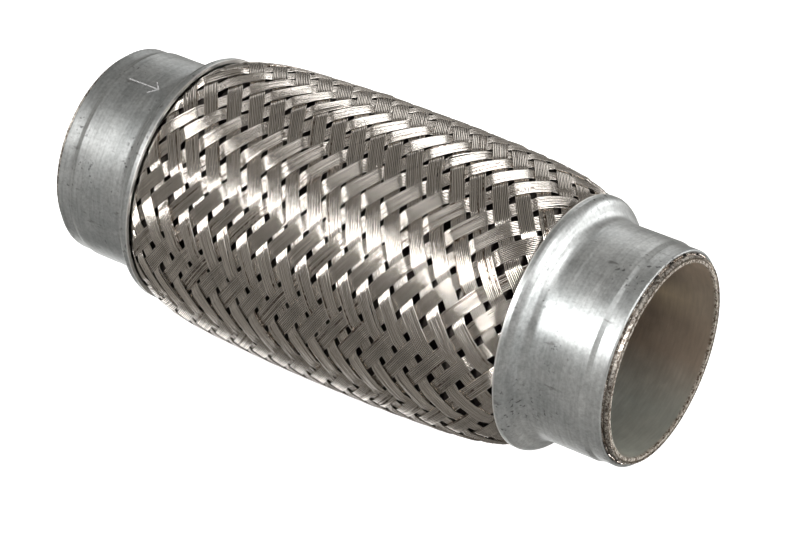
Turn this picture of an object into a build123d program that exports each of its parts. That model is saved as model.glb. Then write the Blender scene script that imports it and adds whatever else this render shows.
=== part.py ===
from build123d import *
import math
import os

# Braided flexible pipe coupling, 45 mm bore, in millimetres.
# +X runs along the pipe axis from the inlet mouth, +Z is up, and the origin is the
# centre of the inlet bore's mouth. Outwards from the bore, each end is a stack of an
# inner ring, the inner braid, the two bellows plies' cuffs, the outer braid and a collar.

# Driving dimensions
overall_length = 150.0
bore_radius = 22.5
ring_wall = 0.7
ring_length = 24.0
inner_braid_wall = 0.4
ply_wall = 0.15
ply_count = 2

# Bellows: U-shaped convolutions between two plain cuffs
convolution_count = 14
convolution_pitch = 7.0
bend_radius = 1.7
end_crest_radius = 29.2
crest_radius = 30.8

# Collar: drawn sheet steel, crimped at its end and flared over the braid
collar_inset = 1.2
collar_wall = 0.8
collar_edge_round = 0.35
crimp_length = 4.8
crimp_run = 1.2
crimp_depth = 0.4
collar_radius = 25.5
flare_start = 18.9
flare_angle = 60.0
flare_neck_bend = 3.0
flare_slope_length = 1.4
flare_shoulder_bend = 3.2
lip_angle = 17.0
lip_radius = 29.7
lip_land = 1.2
lip_edge_bend = 0.15
collar_length = 24.1

# Outer braid: a sleeve of the woven wires' full thickness, crimped, flared and bulged
outer_braid_inset = 1.0
neck_end = 20.4
braid_at_lip = 28.2
braid_shoulder = (30.0, 30.6)
braid_haunch = (39.4, 32.4)
braid_flank = (53.6, 33.2)
braid_belly = 33.6

# The flexible members are cut where the pipe bends and stretches
bodies = ("inlet_end", "flex_1", "flex_2", "flex_3", "flex_4", "flex_5", "flex_6", "outlet_end")
first_cut = 33.0
cut_spacing = 14.0

# Worked out from the above
middle = overall_length / 2
inner_braid_radius = bore_radius + ring_wall
cuff_radius = inner_braid_radius + inner_braid_wall
ply_interface = cuff_radius + ply_wall
braid_cuff_radius = cuff_radius + ply_count * ply_wall
braid_neck_radius = collar_radius - collar_wall
braid_crimp_radius = braid_neck_radius - crimp_depth
outer_braid_wall = braid_neck_radius - braid_cuff_radius
bellows_start = middle - convolution_count * convolution_pitch / 2
collar_end = collar_inset + collar_length
cuts = [0.0] + [first_cut + cut_spacing * i for i in range(len(bodies) - 1)] + [overall_length]

os.makedirs("parts", exist_ok=True)


def write(part, name):
    part.label = name
    export_step(part, f"parts/{name}.step")


def polar(start, length, degrees):
    """The point a length away from start, in a direction given from +X."""
    angle = math.radians(degrees)
    return (start[0] + length * math.cos(angle), start[1] + length * math.sin(angle))


# ---------------------------------------------------------------- collars
crimp_radius = collar_radius - crimp_depth
neck_bend_reach = flare_neck_bend * math.tan(math.radians(flare_angle / 2))
shoulder_turn = flare_angle - lip_angle
shoulder_bend_reach = flare_shoulder_bend * math.tan(math.radians(shoulder_turn / 2))
neck_corner = (flare_start + neck_bend_reach, collar_radius)
slope_length = neck_bend_reach + flare_slope_length + shoulder_bend_reach
shoulder_corner = polar(neck_corner, slope_length, flare_angle)
lip_corner = (collar_end - lip_land, lip_radius)

with BuildSketch(Plane.XZ) as collar_section:
    with BuildLine():
        FilletPolyline(
            (collar_inset, crimp_radius),
            (collar_inset + crimp_length - crimp_run, crimp_radius),
            (collar_inset + crimp_length, collar_radius),
            neck_corner,
            shoulder_corner,
            lip_corner,
            (collar_end, lip_radius),
            radius=[1.0, 1.0, flare_neck_bend, flare_shoulder_bend, lip_edge_bend],
        )
        offset(amount=collar_wall, side=Side.RIGHT)
    make_face()
    end_corners = vertices().group_by(Axis.X)[0]
    fillet(end_corners, collar_edge_round)

with BuildPart() as inlet_collar:
    add(collar_section)
    revolve(axis=Axis.X)

with BuildPart() as outlet_collar:
    mirror(inlet_collar.part, about=Plane.YZ.offset(middle))

write(inlet_collar.part, "inlet_collar")
write(outlet_collar.part, "outlet_collar")


# ---------------------------------------------------------------- inner rings
with BuildPart() as inlet_inner_ring:
    with BuildSketch(Plane.YZ):
        Circle(inner_braid_radius)
        Circle(bore_radius, mode=Mode.SUBTRACT)
    extrude(amount=ring_length)

with BuildPart() as outlet_inner_ring:
    mirror(inlet_inner_ring.part, about=Plane.YZ.offset(middle))

write(inlet_inner_ring.part, "inlet_inner_ring")
write(outlet_inner_ring.part, "outlet_inner_ring")


# ---------------------------------------------------------------- flexible members
def write_sections(face, member):
    """Revolves the part of a member's half section that each body holds."""
    for body, start, end in zip(bodies, cuts[:-1], cuts[1:]):
        with BuildSketch(Plane.XZ) as held:
            add(face)
            with Locations(((start + end) / 2, 0)):
                Rectangle(end - start, 4 * braid_belly, mode=Mode.INTERSECT)
        with BuildPart() as section:
            add(held.sketch)
            revolve(axis=Axis.X)
        write(section.part, f"{body}_{member}")


# Outer braid: crimped at the ends, flared out of the collars, bulged over the bellows
crimp_end = collar_inset + crimp_length
crimp_line = [
    (outer_braid_inset, braid_crimp_radius),
    (crimp_end - crimp_run / 2, braid_crimp_radius),
    (crimp_end + crimp_run / 2, braid_neck_radius),
    (neck_end, braid_neck_radius),
]
bulge_line = [
    (neck_end, braid_neck_radius),
    (collar_end, braid_at_lip),
    braid_shoulder,
    braid_haunch,
    braid_flank,
    (middle, braid_belly),
]


def bulge(inward):
    """The bulge's outline from the neck to the middle, moved in towards the axis."""
    return Spline(*[(x, r - inward) for x, r in bulge_line], tangents=[(1, 0), (1, 0)])


with BuildSketch(Plane.XZ) as outer_braid_section:
    with BuildLine():
        Polyline(*crimp_line)
        outside = bulge(0)
        inside = bulge(outer_braid_wall)
        Line(outside @ 1, inside @ 1)
        Polyline(inside @ 0, (outer_braid_inset, braid_cuff_radius), crimp_line[0])
    make_face()
    mirror(about=Plane.YZ.offset(middle))

write_sections(outer_braid_section.sketch, "outer_braid")


# Inner braid: a plain tube that lines the bellows from end to end
with BuildSketch(Plane.XZ) as inner_braid_section:
    with Locations((middle, inner_braid_radius + inner_braid_wall / 2)):
        Rectangle(overall_length, inner_braid_wall)

write_sections(inner_braid_section.sketch, "inner_braid")


# Bellows: two plies, one inside the other, in the same folds
def folds(outward):
    """The plies' shared surface moved outwards, from cuff end to cuff end."""
    points = [(0, ply_interface + outward)]
    radii = []
    for i in range(convolution_count):
        fold_start = bellows_start + convolution_pitch * i
        rise = fold_start + convolution_pitch / 4 - outward
        fall = fold_start + convolution_pitch * 3 / 4 + outward
        at_an_end = i in (0, convolution_count - 1)
        crest = (end_crest_radius if at_an_end else crest_radius) - ply_wall + outward
        root = ply_interface + outward
        points += [(rise, root), (rise, crest), (fall, crest), (fall, root)]
        root_bend, crest_bend = bend_radius - outward, bend_radius + outward
        radii += [root_bend, crest_bend, crest_bend, root_bend]
    points.append((overall_length, ply_interface + outward))
    return FilletPolyline(*points, radius=radii)


def ply(inner_offset, outer_offset, member):
    """One ply between two offsets from the plies' shared surface."""
    with BuildSketch(Plane.XZ) as ply_section:
        with BuildLine():
            inside = folds(inner_offset)
            outside = folds(outer_offset)
            Line(inside @ 0, outside @ 0)
            Line(inside @ 1, outside @ 1)
        make_face()
    write_sections(ply_section.sketch, member)


ply(-ply_wall, 0, "bellows_inner_ply")
ply(0, ply_wall, "bellows_outer_ply")
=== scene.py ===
import math

import bpy
import numpy as np
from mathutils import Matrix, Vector


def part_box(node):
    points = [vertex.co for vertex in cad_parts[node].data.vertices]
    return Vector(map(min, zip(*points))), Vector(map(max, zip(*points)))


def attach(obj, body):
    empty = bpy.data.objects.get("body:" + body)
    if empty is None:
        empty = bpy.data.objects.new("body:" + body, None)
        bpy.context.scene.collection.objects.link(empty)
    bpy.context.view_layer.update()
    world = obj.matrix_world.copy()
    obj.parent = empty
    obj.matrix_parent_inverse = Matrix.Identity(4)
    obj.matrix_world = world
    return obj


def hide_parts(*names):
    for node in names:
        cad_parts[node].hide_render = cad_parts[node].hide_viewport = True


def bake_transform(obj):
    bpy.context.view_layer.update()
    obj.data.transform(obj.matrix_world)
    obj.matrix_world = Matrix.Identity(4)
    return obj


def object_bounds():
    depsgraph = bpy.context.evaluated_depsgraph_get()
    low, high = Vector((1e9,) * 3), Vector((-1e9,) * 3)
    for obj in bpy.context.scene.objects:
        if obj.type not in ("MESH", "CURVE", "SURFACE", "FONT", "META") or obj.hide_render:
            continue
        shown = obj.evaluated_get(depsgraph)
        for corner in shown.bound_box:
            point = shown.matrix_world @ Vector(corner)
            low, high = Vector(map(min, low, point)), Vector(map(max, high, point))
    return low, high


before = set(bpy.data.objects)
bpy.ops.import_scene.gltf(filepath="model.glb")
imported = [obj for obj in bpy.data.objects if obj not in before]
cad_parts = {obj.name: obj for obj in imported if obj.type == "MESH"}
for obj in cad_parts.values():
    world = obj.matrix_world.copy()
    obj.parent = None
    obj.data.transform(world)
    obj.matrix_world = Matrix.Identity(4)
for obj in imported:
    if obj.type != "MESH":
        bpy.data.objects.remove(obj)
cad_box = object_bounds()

MM = 0.001
BODIES = ["inlet_end", "flex_1", "flex_2", "flex_3", "flex_4", "flex_5", "flex_6", "outlet_end"]

# ---------------------------------------------------------------- sizes, in millimetres
LENGTH = 150.0
MIDDLE = LENGTH / 2
FIRST_CUT, CUT_SPACING = 33.0, 14.0
# where one piece of a flexible member hands over to the next: half way along each body
SEAMS = [FIRST_CUT + CUT_SPACING * (i + 0.5) for i in range(6)]
# the bellows' folds begin and end here
BEND_START, BEND_END = 26.0, LENGTH - 26.0
# the collars' plain outside, and the distance from each mouth to the edge of the flare
COLLAR_RADIUS, LIP = 25.5, 25.3


# ---------------------------------------------------------------- mesh helpers
# edges sharper than this are shaded as edges: the wires' cut ends and the flat liner wires' sides
WIRE_SHARP = math.radians(75)
SHEET_SHARP = math.radians(40)
PROBE_INSET, PROBE_STEP, PROBE_HEIGHT = 0.00005, 0.00025, 0.1  # metres


def add_object(name, data):
    """A new object in the scene for a mesh, light or camera."""
    item = bpy.data.objects.new(name, data)
    bpy.context.scene.collection.objects.link(item)
    return item


def ring_angles(count):
    return np.arange(count) * 2 * math.pi / count


def around_axis(x, radius, turn):
    """Points from a distance along the pipe axis, a radius and an angle from straight up."""
    return np.stack(np.broadcast_arrays(x, -radius * np.sin(turn), radius * np.cos(turn)), -1)


def grid_mesh(name, points, material, tone, crown):
    """One mesh of many capped tubes. points has the shape (tubes, rows, ring, 3), in mm.

    tone is one number for each row of each tube and crown one for each point of a ring: both
    are attributes for the material to read."""
    tubes, rows, ring = points.shape[:3]
    vertex = np.arange(tubes * rows * ring).reshape(tubes, rows, ring)
    here, ahead = vertex[:, :-1, :], vertex[:, 1:, :]
    quads = np.stack([here, ahead, np.roll(ahead, -1, 2), np.roll(here, -1, 2)], -1).reshape(-1, 4)
    caps = np.concatenate([vertex[:, 0, :], vertex[:, -1, ::-1]])
    loops = np.concatenate([quads.ravel(), caps.ravel()])
    starts = np.concatenate([np.arange(len(quads)) * 4, quads.size + np.arange(len(caps)) * ring])
    smooth = np.arange(len(starts)) < len(quads)
    mesh = bpy.data.meshes.new(name)
    mesh.vertices.add(vertex.size)
    mesh.vertices.foreach_set("co", (points * MM).astype(np.float32).ravel())
    mesh.loops.add(len(loops))
    mesh.loops.foreach_set("vertex_index", loops.astype(np.int32))
    mesh.polygons.add(len(starts))
    mesh.polygons.foreach_set("loop_start", starts.astype(np.int32))
    mesh.polygons.foreach_set("use_smooth", smooth)
    mesh.update(calc_edges=True)
    mesh.validate()
    for label, values in (("tone", np.repeat(tone.ravel(), ring)),
                          ("crown", np.tile(crown, tone.size))):
        shade = mesh.attributes.new(label, "FLOAT", "POINT")
        shade.data.foreach_set("value", values.astype(np.float32))
    mesh.set_sharp_from_angle(angle=WIRE_SHARP)
    mesh.materials.append(material)
    return add_object(name, mesh)


def revolve(name, loop, material, segments=96):
    """A closed ring about the pipe axis from a closed loop of (distance along the axis, radius)."""
    loop = np.array(loop)
    points = around_axis(loop[:, 0], loop[:, 1], ring_angles(segments)[:, None])
    vertex = np.arange(segments * len(loop)).reshape(segments, len(loop))
    across = np.roll(vertex, -1, 0)
    quads = np.stack([vertex, np.roll(vertex, -1, 1), np.roll(across, -1, 1), across], -1)
    quads = quads.reshape(-1, 4)
    mesh = bpy.data.meshes.new(name)
    mesh.from_pydata((points.reshape(-1, 3) * MM).tolist(), [], quads.tolist())
    mesh.polygons.foreach_set("use_smooth", np.ones(len(quads), bool))
    mesh.set_sharp_from_angle(angle=SHEET_SHARP)
    mesh.materials.append(material)
    return add_object(name, mesh)


def profile_of(member):
    """Outer radius of a CAD member against distance along the axis, in mm, felt from above."""
    xs, rs = [], []
    for body in BODIES:
        name = f"{body}_{member}"
        low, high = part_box(name)
        for x in np.arange(low.x + PROBE_INSET, high.x, PROBE_STEP):
            above = Vector((x, 0, PROBE_HEIGHT))
            hit, place, _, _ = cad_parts[name].ray_cast(above, Vector((0, 0, -1)))
            if hit:
                xs.append(x / MM)
                rs.append(place.z / MM)
    return np.array(xs), np.array(rs)


def smoothstep(t):
    t = np.clip(t, 0, 1)
    return t * t * (3 - 2 * t)


def wander(count, xs, step, size, seed):
    """Slow random drifts along the axis, one row for each of count, of about the given size."""
    source = np.random.default_rng(seed)
    knots = np.arange(xs[0] - step, xs[-1] + 2 * step, step)
    values = source.normal(0, size, (count, len(knots)))
    t = (xs - knots[0]) / step
    k = np.clip(t.astype(int), 0, len(knots) - 2)
    f = smoothstep(t - k)
    return values[:, k] * (1 - f) + values[:, k + 1] * f


def bend_piece(piece, i, member):
    """Bakes piece i of a flexible member into place and hides the two CAD sections that it stands
    in for.
    """
    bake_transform(piece)
    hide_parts(f"{BODIES[i]}_{member}", f"{BODIES[i + 1]}_{member}")


# ---------------------------------------------------------------- the weave
STRANDS = 24  # bundles of each hand
STEP = 2 * math.pi / STRANDS
WIRES_IN_BUNDLE = 9
WIRE = 0.375  # wire diameter
LIFT = 0.2  # how far a bundle moves out or in from the middle of the weave
CROSSING = 5.5  # how steeply it moves between the two
BRAID_PHASE = math.radians(39.9)
HALF_BARREL = 50.0  # from the middle of the barrel to about a collar's lip
PITCH_REACH = 1.3  # the pitch goes on changing up to this many half barrels from the middle
# The rows of crossings aren't square to the axis. They are pushed along it by the sine of the
# angle from ROW_CENTRE, times this many mm in the middle of the barrel and at its outlet end. At
# the inlet end it is the opposite of the outlet's.
ROW_CENTRE = math.radians(49.6)
LEAN_MIDDLE, LEAN_OUTLET = 2.2, -1.2
LEAN_ROUNDS = 4  # the lean depends on the angle it changes, so it is worked out a few times over
TABLE_MARGIN, TABLE_POINTS = 10, 3401  # one point each 0.05 mm, past both mouths

# unevenness: (distance over which it changes, size)
WIRE_DRIFT, BUNDLE_DRIFT, BUNDLE_SQUEEZE = (9.0, 0.02), (16.0, 0.28), (11.0, 0.035)
HEIGHT_DRIFT, TONE_DRIFT = (3.0, 0.02), (8.0, 0.12)
# places where one wire stands proud: how many, how long, how high and how far to the side
STRAYS = 46
STRAY_MARGIN = 24
STRAY_WIDTH, STRAY_RISE, STRAY_SHIFT = (1.5, 4.0), (0.1, 0.45), (-0.5, 0.5)
UNDERNEATH = 0.3  # the share of that rise where the wire passes under the other hand
# the tone is 0, a raw end, up to RAW_END from a mouth, and the wire's own RAW_FADE further in
RAW_END, RAW_FADE = 2, 6


def turning(middle_pitch, end_pitch, start):
    """The angle a strand has turned through, as a function of the distance along the axis.

    The pitches are the distances along the axis between neighbouring bundles of one hand."""
    xs = np.linspace(-TABLE_MARGIN, LENGTH + TABLE_MARGIN, TABLE_POINTS)
    from_middle = np.clip(np.abs(xs - MIDDLE) / HALF_BARREL, 0, PITCH_REACH)
    rate = STEP / (middle_pitch + (end_pitch - middle_pitch) * from_middle ** 2)
    angle = np.concatenate([[0], np.cumsum((rate[1:] + rate[:-1]) / 2 * np.diff(xs))])
    angle += start - np.interp(MIDDLE, xs, angle)
    return lambda x: np.interp(x, xs, angle)


def over(s):
    """Which side of the weave a strand is on: 1 outside, -1 inside, over two and under two."""
    return np.clip(CROSSING * np.cos(math.pi / 2 * (s - 0.5)), -1, 1)


def stand_proud(height, phi, side, radius, xs, irregular, seed):
    """Lifts and shifts short stretches of a few wires, chosen at random. Changes height and phi."""
    stray = np.random.default_rng(seed)
    for _ in range(int(STRAYS * irregular)):
        w, at = stray.integers(len(phi)), stray.uniform(STRAY_MARGIN, LENGTH - STRAY_MARGIN)
        wide = stray.uniform(*STRAY_WIDTH)
        hump = np.exp(-(((xs - at) / wide) ** 2))
        height[w] += hump * stray.uniform(*STRAY_RISE) * np.where(side[w] > 0, 1, UNDERNEATH)
        phi[w] += hump * stray.uniform(*STRAY_SHIFT) / radius


def thicken(xs, r, phi, flatness, sides):
    """Rings of points about the wires' centre lines, flattened towards the axis by flatness."""
    centre = around_axis(xs, r, phi)
    tangent = np.gradient(centre, axis=1)
    tangent /= np.linalg.norm(tangent, axis=-1, keepdims=True)
    sideways = np.cross(tangent, around_axis(0.0, 1.0, phi))
    sideways /= np.linalg.norm(sideways, axis=-1, keepdims=True)
    out = np.cross(sideways, tangent)
    turn = ring_angles(sides)
    wide = np.cos(turn)[None, None, :, None]
    high = np.sin(turn)[None, None, :, None] * flatness[None, :, None, None]
    ring = centre[:, :, None, :] + (WIRE / 2) * wide * sideways[:, :, None, :]
    return ring + (WIRE / 2) * high * out[:, :, None, :]


def wires(hand, xs, radius, flatness, angle_at, spread, sides, irregular, seed):
    """Rings of points for every wire of one hand, (wires, rows, sides, 3) in mm, and its tones.

    hand is 1 or -1, spread the distance between neighbouring wires of a bundle, and irregular the
    share of the usual unevenness. Each source of randomness has a seed of its own."""
    strand = np.repeat(np.arange(STRANDS), WIRES_IN_BUNDLE)
    place = np.tile(np.arange(WIRES_IN_BUNDLE), STRANDS) - (WIRES_IN_BUNDLE - 1) / 2
    count = len(strand)

    def uneven(rows, kind, share, own_seed):
        return wander(rows, xs, kind[0], kind[1] * share, own_seed)

    own = uneven(count, WIRE_DRIFT, 1, seed)
    drift = uneven(STRANDS, BUNDLE_DRIFT, irregular, seed + 1)[strand]
    squeeze = 1 + uneven(STRANDS, BUNDLE_SQUEEZE, irregular, seed + 2)[strand]

    # the bundles' centre lines
    base = STEP * strand[:, None] + BRAID_PHASE
    along = np.clip((xs - MIDDLE) / HALF_BARREL, -1, 1)
    lean = LEAN_MIDDLE * (1 - along ** 2) + LEAN_OUTLET * along
    phi = base + hand * angle_at(xs)[None, :]
    for _ in range(LEAN_ROUNDS):
        turned = angle_at(xs + lean * np.sin(phi - ROW_CENTRE))
        phi = base + hand * turned

    # each wire's place beside its centre line, over or under the other hand
    rate = np.gradient(phi, xs, axis=1)
    slant = 1 / np.sqrt(1 + (radius * rate) ** 2)
    across = place[:, None] * spread * squeeze + own + drift
    phi = phi + across / (radius * slant)
    side = over(strand[:, None] + (phi - BRAID_PHASE + hand * turned) / STEP) * hand
    height = side * LIFT * flatness + uneven(count, HEIGHT_DRIFT, irregular, seed + 3)
    stand_proud(height, phi, side, radius, xs, irregular, seed + 4)

    tone = np.random.default_rng(seed + 5).uniform(0, 1, (count, 1))
    tone = tone + uneven(count, TONE_DRIFT, 1, seed + 6)
    tone = tone * smoothstep((np.minimum(xs, LENGTH - xs) - RAW_END) / RAW_FADE)
    return thicken(xs, radius + height, phi, flatness, sides), np.clip(tone, 0, 1)


def stations(first, fine_step, fine_start):
    """Distances along the axis: coarse where a collar hides the member and fine between.

    Every seam is one of them, and the two ends mirror each other."""
    coarse = [first, 1.5, 2.5, 4.5, 5.4, 6.6, 8.5, 12.0, 16.0, fine_start]
    steps = int(round((SEAMS[0] - fine_start) / fine_step))
    inlet = coarse + list(np.linspace(fine_start, SEAMS[0], steps + 1)[1:])
    per_seam = int(round(CUT_SPACING / fine_step))
    between = []
    for a, b in zip(SEAMS[:-1], SEAMS[1:]):
        between += list(np.linspace(a, b, per_seam + 1)[1:])
    outlet = [LENGTH - x for x in reversed(inlet[:-1])]
    return np.array(inlet + between + outlet)


def cut_at_seams(xs):
    """The first and last station of each piece."""
    edges = [0] + [int(np.argmin(np.abs(xs - s))) for s in SEAMS] + [len(xs) - 1]
    return list(zip(edges[:-1], edges[1:]))


def braid(member, material, mid_radius, flatness, angle_at, spread, sides, irregular,
          fine_step, seed, first, fine_start):
    """All the wires of one braid, in one piece for each hand and each stretch between seams."""
    xs = stations(first, fine_step, fine_start)
    # crown is 1 on a wire's outside and 0 on its sides: the wire material paints shade on the sides
    # from it
    crown = np.abs(np.sin(ring_angles(sides)))
    for hand, word in ((1, "right"), (-1, "left")):
        ring, tone = wires(hand, xs, mid_radius(xs), flatness(xs), angle_at, spread, sides,
                           irregular, seed + 10 * (hand + 1))
        for i, (a, b) in enumerate(cut_at_seams(xs)):
            piece = grid_mesh(f"{member}_{word}_hand_{i + 1}", ring[:, a:b + 1], material,
                              tone[:, a:b + 1], crown)
            bend_piece(piece, i, member)


# ---------------------------------------------------------------- bellows
CONVOLUTIONS, FOLD_PITCH, FOLD_BEND = 14, 7.0, 1.7
PLY_INTERFACE, PLY_WALL = 23.75, 0.15
CREST, END_CREST = 30.8, 29.2
CUFF_POINT = 12.0  # a point half way along each plain cuff
AT_SEAM = 1e-6


def arc(centre, radius, start, end, steps=4):
    """Points on an arc, from one angle in degrees to another."""
    turn = np.radians(np.linspace(start, end, steps + 1))
    return [(centre[0] + radius * math.cos(t), centre[1] + radius * math.sin(t)) for t in turn]


def fold_line(outward):
    """The plies' shared surface moved outwards, as (distance along the axis, radius)."""
    root_bend, crest_bend = FOLD_BEND - outward, FOLD_BEND + outward
    root = PLY_INTERFACE + outward
    line = [(0.0, root), (CUFF_POINT, root)]
    for i in range(CONVOLUTIONS):
        start = BEND_START + FOLD_PITCH * i
        rise = start + FOLD_PITCH / 4 - outward
        fall = start + FOLD_PITCH * 3 / 4 + outward
        crest = (END_CREST if i in (0, CONVOLUTIONS - 1) else CREST) - PLY_WALL + outward
        line.append((start, root))
        line += arc((rise - root_bend, root + root_bend), root_bend, -90, 0)
        line += arc((rise + crest_bend, crest - crest_bend), crest_bend, 180, 90)
        line += arc((fall - crest_bend, crest - crest_bend), crest_bend, 90, 0)
        line += arc((fall + root_bend, root + root_bend), root_bend, 180, 270)
    return line + [(BEND_END, root), (LENGTH - CUFF_POINT, root), (LENGTH, root)]


def bellows_ply(member, inner_offset, outer_offset, material):
    """One ply between two offsets from the plies' shared surface, in one piece for each stretch."""
    inside, outside = fold_line(inner_offset), fold_line(outer_offset)
    edges = [0.0] + SEAMS + [LENGTH]
    for i, (a, b) in enumerate(zip(edges[:-1], edges[1:])):
        there = [p for p in outside if a - AT_SEAM <= p[0] <= b + AT_SEAM]
        back = [p for p in inside if a - AT_SEAM <= p[0] <= b + AT_SEAM]
        piece = revolve(f"{member}_{i + 1}", there + back[::-1], material)
        bend_piece(piece, i, member)


# ---------------------------------------------------------------- node helpers
MIX_A, MIX_B, MIX_RESULT = 6, 7, 2  # the colour sockets of a Mix node
RISE = [(0.0, 0.0), (1.0, 1.0)]


def new_material(name, metallic=1.0):
    material = bpy.data.materials.new(name)
    material.use_nodes = True
    tree = material.node_tree
    shader = tree.nodes["Principled BSDF"]
    shader.inputs["Metallic"].default_value = metallic
    return material, tree, shader


def surface(tree, shader, colour, roughness):
    """Joins a material's colour and roughness to its shader."""
    tree.links.new(colour, shader.inputs["Base Color"])
    tree.links.new(roughness, shader.inputs["Roughness"])


def noise(tree, scale, detail=4.0, roughness=0.55, stretch=(1, 1, 1)):
    """Noise in the object's own space, with scale in cycles per metre."""
    place = tree.nodes.new("ShaderNodeTexCoord")
    mapping = tree.nodes.new("ShaderNodeMapping")
    mapping.inputs["Scale"].default_value = stretch
    texture = tree.nodes.new("ShaderNodeTexNoise")
    texture.inputs["Scale"].default_value = scale
    texture.inputs["Detail"].default_value = detail
    texture.inputs["Roughness"].default_value = roughness
    tree.links.new(place.outputs["Object"], mapping.inputs["Vector"])
    tree.links.new(mapping.outputs["Vector"], texture.inputs["Vector"])
    return texture.outputs["Fac"]


def ramp(tree, value, stops):
    """A colour ramp. stops are (position, colour or grey), and a new ramp has two to begin with."""
    node = tree.nodes.new("ShaderNodeValToRGB")
    elements = node.color_ramp.elements
    for i, (at, colour) in enumerate(stops):
        element = elements[i] if i < 2 else elements.new(at)
        element.position = at
        grey = isinstance(colour, (int, float))
        element.color = (colour, colour, colour, 1) if grey else (*colour, 1)
    tree.links.new(value, node.inputs["Fac"])
    return node.outputs["Color"]


def mix(tree, kind, factor, a, b):
    """Two colours mixed. Each of factor, a and b is a constant or another node's output."""
    node = tree.nodes.new("ShaderNodeMix")
    node.data_type = "RGBA"
    node.blend_type = kind
    if isinstance(factor, (int, float)):
        node.inputs["Factor"].default_value = factor
    else:
        tree.links.new(factor, node.inputs["Factor"])
    for socket, value in ((node.inputs[MIX_A], a), (node.inputs[MIX_B], b)):
        if isinstance(value, tuple):
            socket.default_value = (*value, 1)
        else:
            tree.links.new(value, socket)
    return node.outputs[MIX_RESULT]


def bump(tree, shader, height, strength, distance):
    node = tree.nodes.new("ShaderNodeBump")
    node.inputs["Strength"].default_value = strength
    node.inputs["Distance"].default_value = distance
    tree.links.new(height, node.inputs["Height"])
    tree.links.new(node.outputs["Normal"], shader.inputs["Normal"])


def attribute(tree, name):
    node = tree.nodes.new("ShaderNodeAttribute")
    node.attribute_name = name
    return node.outputs["Fac"]


def place_along(tree, axis, start, end):
    """A number that runs from 0 to 1 between two places on one of the object's own axes, in mm."""
    place = tree.nodes.new("ShaderNodeTexCoord")
    split = tree.nodes.new("ShaderNodeSeparateXYZ")
    span = tree.nodes.new("ShaderNodeMapRange")
    span.inputs["From Min"].default_value = start * MM
    span.inputs["From Max"].default_value = end * MM
    tree.links.new(place.outputs["Object"], split.inputs["Vector"])
    tree.links.new(split.outputs[axis], span.inputs["Value"])
    return span.outputs["Result"]


def both_ends(tree, kind, inner, outer, inlet_stops=RISE):
    """A grey that changes from inner to outer mm from each mouth, with the two ends mixed."""
    inlet = ramp(tree, place_along(tree, "X", inner, outer), inlet_stops)
    outlet = ramp(tree, place_along(tree, "X", LENGTH - inner, LENGTH - outer), RISE)
    return mix(tree, kind, 1.0, inlet, outlet)


# ---------------------------------------------------------------- materials
PAINTED_SIDE_SHADE = 0.12  # painted shade between the wires: the brightness of a wire's sides, where its crown has 1
RAW_BAND = 0.06  # tones below this fade into the raw ends
ZINC = [(0.30, (0.40, 0.42, 0.42)), (0.70, (0.74, 0.755, 0.745))]
# the last colour here is a painted highlight for the edges of the flares
SPECK, SCUFF, LIP_PAINTED_HIGHLIGHT = (0.13, 0.13, 0.13), (0.20, 0.195, 0.19), (0.95, 0.94, 0.91)
RING_COOL = [(0.3, (0.50, 0.53, 0.48)), (0.7, (0.66, 0.69, 0.63))]
RING_WARM = [(0.3, (0.44, 0.36, 0.29)), (0.7, (0.66, 0.55, 0.45))]
# a painted highlight: a golden patch inside the outlet ring
RING_PAINTED_HIGHLIGHT = (1.0, 0.83, 0.62)
RING_RAGGED = [(0.44, (0.20, 0.15, 0.11)), (0.54, (0.86, 0.80, 0.71))]
# painted shade: the bellows are coloured dark so that the gaps in the braid look shaded
SHEET = [(0.3, (0.10, 0.09, 0.08)), (0.7, (0.22, 0.20, 0.18))]
SHEET_RAGGED = [(0.42, (0.15, 0.12, 0.10)), (0.56, (0.78, 0.73, 0.66))]


def wire_material(name, light, dark, roughness):
    """Drawn wire: each wire has its own tone, painted shade on its sides where it meets its
    neighbours, and grainy, browned ends.
    """
    material, tree, shader = new_material(name)
    own = attribute(tree, "tone")
    steel = ramp(tree, own, [(0.05, tuple(0.92 * c for c in light)),
                             (1.0, tuple(1.14 * c for c in light))])
    # painted shade: each wire's sides are darkened, read from the crown attribute
    painted_side_shade = ramp(tree, attribute(tree, "crown"), [(0.05, PAINTED_SIDE_SHADE), (0.80, 1.0)])
    patches = ramp(tree, noise(tree, 45, 2), [(0.35, 0.90), (0.62, 1.0)])
    steel = mix(tree, "MULTIPLY", 1.0, mix(tree, "MULTIPLY", 1.0, steel, patches), painted_side_shade)
    ends = ramp(tree, noise(tree, 1700, 3, 0.7), [(0.42, dark), (0.60, light)])
    where = ramp(tree, own, [(0.0, 1.0), (RAW_BAND, 0.0)])
    surface(tree, shader, mix(tree, "MIX", where, steel, ends),
            ramp(tree, own, [(0.0, roughness + 0.10), (1.0, roughness)]))
    return material


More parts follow.
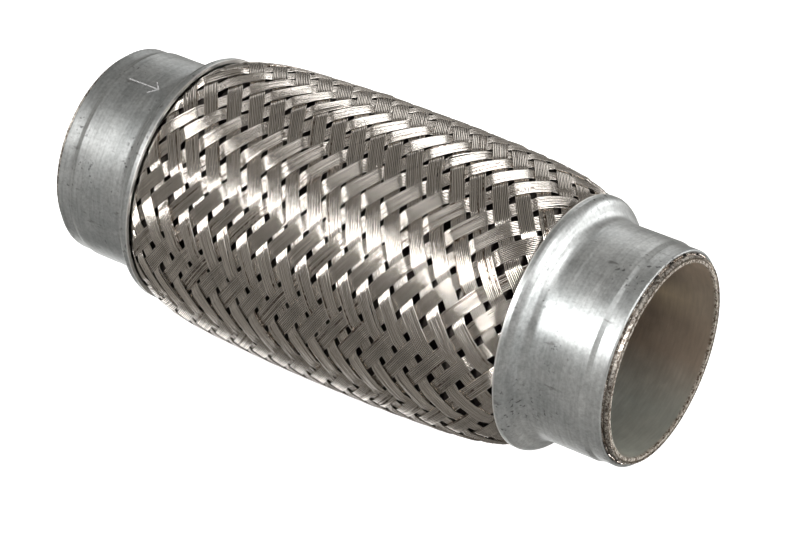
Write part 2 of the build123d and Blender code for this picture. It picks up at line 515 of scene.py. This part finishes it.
def collar_material():
    """Zinc-plated sheet: cloudy, finely pitted, with clusters of dark specks and turned scratches.

    The edges of the flares carry a painted highlight, a bright strip."""
    material, tree, shader = new_material("galvanised_steel", 0.85)
    cloud = ramp(tree, noise(tree, 60, 7, 0.7), ZINC)
    grain = ramp(tree, noise(tree, 1300, 3, 0.6), [(0.32, 0.72), (0.6, 1.0)])
    turned = ramp(tree, noise(tree, 50, 3, 0.6, (26, 1, 1)), [(0.36, 0.84), (0.60, 1.0)])
    base = mix(tree, "MULTIPLY", 0.8, mix(tree, "MULTIPLY", 1.0, cloud, turned), grain)
    clusters = ramp(tree, noise(tree, 85, 2, 0.5), [(0.50, 0.0), (0.62, 1.0)])
    specks = ramp(tree, noise(tree, 950, 2, 0.45), [(0.62, 0.0), (0.69, 0.85)])
    base = mix(tree, "MIX", mix(tree, "MULTIPLY", 1.0, clusters, specks), base, SPECK)
    scuffs = ramp(tree, noise(tree, 150, 3, 0.5, (1, 3, 3)), [(0.68, 0.0), (0.74, 0.7)])
    base = mix(tree, "MIX", scuffs, base, SCUFF)
    # painted highlight: a bright strip along the edges of the flares
    painted_lip_highlight = both_ends(tree, "MULTIPLY", LIP - 0.5, LIP - 0.1, [(0.0, 0.0), (1.0, 0.8)])
    base = mix(tree, "MIX", painted_lip_highlight, base, LIP_PAINTED_HIGHLIGHT)
    worn = ramp(tree, noise(tree, 160, 5, 0.6), [(0.3, 0.34), (0.7, 0.46)])
    scratches = ramp(tree, noise(tree, 55, 2, 0.5, (45, 1, 1)), [(0.60, 0.0), (0.66, 0.10)])
    surface(tree, shader, base, mix(tree, "ADD", 1.0, worn, scratches))
    bump(tree, shader, noise(tree, 700, 4, 0.6), 0.16, 0.00012)
    return material


def ring_material():
    """Rolled stainless strip: grey below and brown above, by height, with a golden painted
    highlight inside the outlet ring and a ragged, speckled mouth.
    """
    material, tree, shader = new_material("ring_steel_with_painted_highlight", 0.72)
    cool = ramp(tree, noise(tree, 60, 5, 0.6), RING_COOL)
    warm = ramp(tree, noise(tree, 60, 5, 0.6), RING_WARM)
    # brown above and grey below, mixed by height in the ring
    base = mix(tree, "MIX", ramp(tree, place_along(tree, "Z", -21, -13), RISE), cool, warm)
    # painted highlight: a golden patch inside the outlet ring, placed by height and by distance
    # along the axis
    painted_highlight_patch = mix(tree, "MULTIPLY", 1.0,
                ramp(tree, place_along(tree, "Z", -6, 5), [(0.0, 0.0), (0.5, 1.0), (1.0, 0.0)]),
                ramp(tree, place_along(tree, "X", 128, 147), [(0.0, 0.0), (0.45, 1.0), (1.0, 0.0)]))
    base = mix(tree, "MIX", painted_highlight_patch, base, RING_PAINTED_HIGHLIGHT)
    rolled = ramp(tree, noise(tree, 260, 3, 0.5, (6, 1, 1)), [(0.3, 0.85), (0.7, 1.0)])
    base = mix(tree, "MULTIPLY", 1.0, base, rolled)
    ragged = ramp(tree, noise(tree, 1300, 3, 0.7), RING_RAGGED)
    base = mix(tree, "MIX", both_ends(tree, "ADD", 0.9, 0.3), base, ragged)
    surface(tree, shader, base, ramp(tree, noise(tree, 300, 4), [(0.3, 0.30), (0.7, 0.44)]))
    bump(tree, shader, noise(tree, 1200, 3), 0.15, 0.0001)
    return material


def etched_material():
    """The frosted lines of a laser etching."""
    material, tree, shader = new_material("laser_etched", 0.3)
    surface(tree, shader, ramp(tree, noise(tree, 1500, 3, 0.6), [(0.35, 0.38), (0.6, 0.66)]),
            ramp(tree, noise(tree, 600, 2), [(0.3, 0.55), (0.7, 0.7)]))
    return material


def bellows_material():
    """Thin stainless sheet, darkened inside the barrel as painted shade, with rough, speckled cuffs
    at the mouths.
    """
    material, tree, shader = new_material("bellows_steel")
    # painted shade: dark sheet inside the barrel, fading to lighter speckled cuffs towards each
    # mouth
    sheet = ramp(tree, noise(tree, 120, 4), SHEET)
    ragged = ramp(tree, noise(tree, 1300, 3, 0.7), SHEET_RAGGED)
    surface(tree, shader, mix(tree, "MIX", both_ends(tree, "ADD", 1.1, 0.5), sheet, ragged),
            ramp(tree, noise(tree, 400, 3), [(0.3, 0.35), (0.7, 0.55)]))
    return material


braid_wire = wire_material("braid_wire", (0.90, 0.845, 0.78), (0.22, 0.16, 0.12), 0.15)
liner_wire = wire_material("liner_wire", (0.56, 0.50, 0.43), (0.28, 0.23, 0.18), 0.26)
galvanised = collar_material()
ring_steel = ring_material()
bellows_steel = bellows_material()
etched = etched_material()

for node, material in (("inlet_collar", galvanised), ("outlet_collar", galvanised),
                       ("inlet_inner_ring", ring_steel), ("outlet_inner_ring", ring_steel)):
    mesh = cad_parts[node].data
    mesh.materials.clear()
    mesh.materials.append(material)


# ---------------------------------------------------------------- pieces
outer_x, outer_r = profile_of("outer_braid")
SQUASH_END, SQUASH_FADE = 4.8, 1.8  # the crimp's length, and where the wires become round again
SQUASHED = 0.5  # the height of a flattened wire over its width
HALF_WEAVE = 0.2  # half the weave's thickness in the crimp; elsewhere the weave is twice as thick
INNER_MID = 23.4  # radius of the middle of the inner braid


def squash_free(x):
    """0 where the collar's crimp flattens the wires, 1 where they are round."""
    from_end = np.minimum(x, LENGTH - x)
    return smoothstep((from_end - SQUASH_END) / SQUASH_FADE)


def outer_mid(x):
    """The middle of the weave: its wires' outer points reach the CAD sleeve's outside."""
    return np.interp(x, outer_x, outer_r) - HALF_WEAVE - HALF_WEAVE * squash_free(x)


def outer_flatness(x):
    return SQUASHED + (1 - SQUASHED) * squash_free(x)


braid("outer_braid", braid_wire, outer_mid, outer_flatness,
      angle_at=turning(5.3, 6.9, math.radians(-5.6)), spread=0.385, sides=6, irregular=1.0,
      fine_step=0.44, seed=1000, first=1.0, fine_start=21.0)
braid("inner_braid", liner_wire, lambda x: np.full_like(x, INNER_MID),
      lambda x: np.full_like(x, SQUASHED),
      angle_at=turning(5.6, 5.6, 0.3), spread=0.41, sides=4, irregular=0.0,
      fine_step=1.0, seed=2000, first=0.0, fine_start=22.0)
bellows_ply("bellows_outer_ply", 0.0, PLY_WALL, bellows_steel)
bellows_ply("bellows_inner_ply", -PLY_WALL, 0.0, bellows_steel)

ETCH_DEPTH, ETCH_HEIGHT = -0.04, 0.03  # from the collar's outside to a strip's two faces
ETCH_ROWS = 9


def etched_arrow(middle_x, angle, length, head, line):
    """A plain flow arrow on the inlet collar: strips that follow its round, all sizes in mm."""
    tip, barb = length / 2, head * math.sqrt(0.5)
    strips = [((-tip, 0), (tip, 0)),
              ((tip, 0), (tip - barb, barb)),
              ((tip, 0), (tip - barb, -barb))]
    steps = np.linspace(0, 1, ETCH_ROWS)[:, None]
    tubes = []
    for start, end in strips:
        start, end = np.array(start), np.array(end)
        along = (end - start) / np.linalg.norm(end - start)
        side = np.array([-along[1], along[0]]) * line / 2
        spine = start + steps * (end - start)
        ring = [(spine + side, ETCH_DEPTH), (spine - side, ETCH_DEPTH),
                (spine - side, ETCH_HEIGHT), (spine + side, ETCH_HEIGHT)]
        corners = [np.concatenate([edge, np.full((ETCH_ROWS, 1), up)], 1) for edge, up in ring]
        tubes.append(np.stack(corners, 1))
    flat = np.array(tubes)
    points = around_axis(middle_x + flat[..., 0], COLLAR_RADIUS + flat[..., 2],
                         angle + flat[..., 1] / COLLAR_RADIUS)
    arrow = grid_mesh("flow_arrow", points, etched, np.ones(points.shape[:2]), np.ones(4))
    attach(arrow, "inlet_end")


etched_arrow(middle_x=12.6, angle=math.radians(12), length=8.5, head=2.8, line=0.32)


# ---------------------------------------------------------------- floor, lights and camera
FLOOR_DROP = 28.0  # room for the outlet end, which comes down as the pipe bends
FLOOR_HALF = 6.0  # metres
FLOOR_GLOW = 0.75
TARGET = Vector((80.58, 0, -2.62)) * MM
CAMERA_AZIMUTH, CAMERA_ELEVATION, CAMERA_DISTANCE = 34.39, 35.12, 0.7103
CAMERA_LENS, SENSOR_WIDTH = 140.8, 36.0
LIGHT_DISTANCE = 0.9
# name, azimuth, elevation, size in metres, power in watts
LIGHTS = [
    ("key", 341, 40, (0.24, 0.34), 4.1),
    ("right_high", 92, 46, (0.34, 0.48), 3.9),
    ("right_low", 104, 5, (0.66, 0.26), 3.4),
    ("back_low", 152, 6, (0.50, 0.26), 1.7),
    ("near_top", 26, 55, (0.30, 0.30), 0.8),
    ("back_left", 208, 20, (0.26, 0.50), 0.6),
    ("under_back", 226, -48, (0.60, 0.50), 1.2),
]
ROOM_TONES = [(0.36, (0.08, 0.076, 0.07)), (0.64, (0.34, 0.323, 0.30))]


def stage_floor():
    """A pale, evenly lit floor. Reflections don't see it and it stops no light from below."""
    material, tree, shader = new_material("floor", 0.0)
    tint = ramp(tree, noise(tree, 8, 2), [(0.3, 0.90), (0.7, 0.93)])
    tree.links.new(tint, shader.inputs["Base Color"])
    shader.inputs["Roughness"].default_value = 0.9
    shader.inputs["Emission Color"].default_value = (1, 1, 1, 1)
    shader.inputs["Emission Strength"].default_value = FLOOR_GLOW
    mesh = bpy.data.meshes.new("floor")
    z = cad_box[0].z - FLOOR_DROP * MM
    corners = [(-1, -1), (1, -1), (1, 1), (-1, 1)]
    mesh.from_pydata([(FLOOR_HALF * x, FLOOR_HALF * y, z) for x, y in corners], [], [(0, 1, 2, 3)])
    mesh.materials.append(material)
    floor = add_object("floor", mesh)
    floor.visible_glossy = False
    floor.visible_shadow = False


def view_from(azimuth, elevation):
    """The direction from the object towards a viewer. Azimuth 0 is in front, at -Y."""
    a, e = math.radians(azimuth), math.radians(elevation)
    return Vector((math.sin(a) * math.cos(e), -math.cos(a) * math.cos(e), math.sin(e)))


def aim(name, data, azimuth, elevation, distance):
    """A light or camera at a distance from the middle of the object, looking at it."""
    away = view_from(azimuth, elevation)
    item = add_object(name, data)
    item.location = TARGET + away * distance
    item.rotation_mode = "QUATERNION"
    item.rotation_quaternion = (-away).to_track_quat("-Z", "Y")
    return item


def soft_light(name, azimuth, elevation, size, power):
    """A soft box, aimed at the middle of the object."""
    data = bpy.data.lights.new(name, "AREA")
    data.shape = "RECTANGLE"
    data.size, data.size_y = size
    data.energy = power
    aim(name, data, azimuth, elevation, LIGHT_DISTANCE)


camera_data = bpy.data.cameras.new("camera")
camera_data.lens, camera_data.sensor_width = CAMERA_LENS, SENSOR_WIDTH
camera_data.clip_start, camera_data.clip_end = 0.01, 20.0
bpy.context.scene.camera = aim("camera", camera_data, CAMERA_AZIMUTH, CAMERA_ELEVATION,
                               CAMERA_DISTANCE)

stage_floor()
for light in LIGHTS:
    soft_light(*light)

world = bpy.data.worlds.new("studio")
world.use_nodes = True
room = world.node_tree.nodes.new("ShaderNodeTexNoise")
room.inputs["Scale"].default_value = 2.6
room.inputs["Detail"].default_value = 2.0
tones = ramp(world.node_tree, room.outputs["Fac"], ROOM_TONES)
world.node_tree.links.new(tones, world.node_tree.nodes["Background"].inputs["Color"])
bpy.context.scene.world = world
bpy.context.scene.view_settings.view_transform = "Standard"
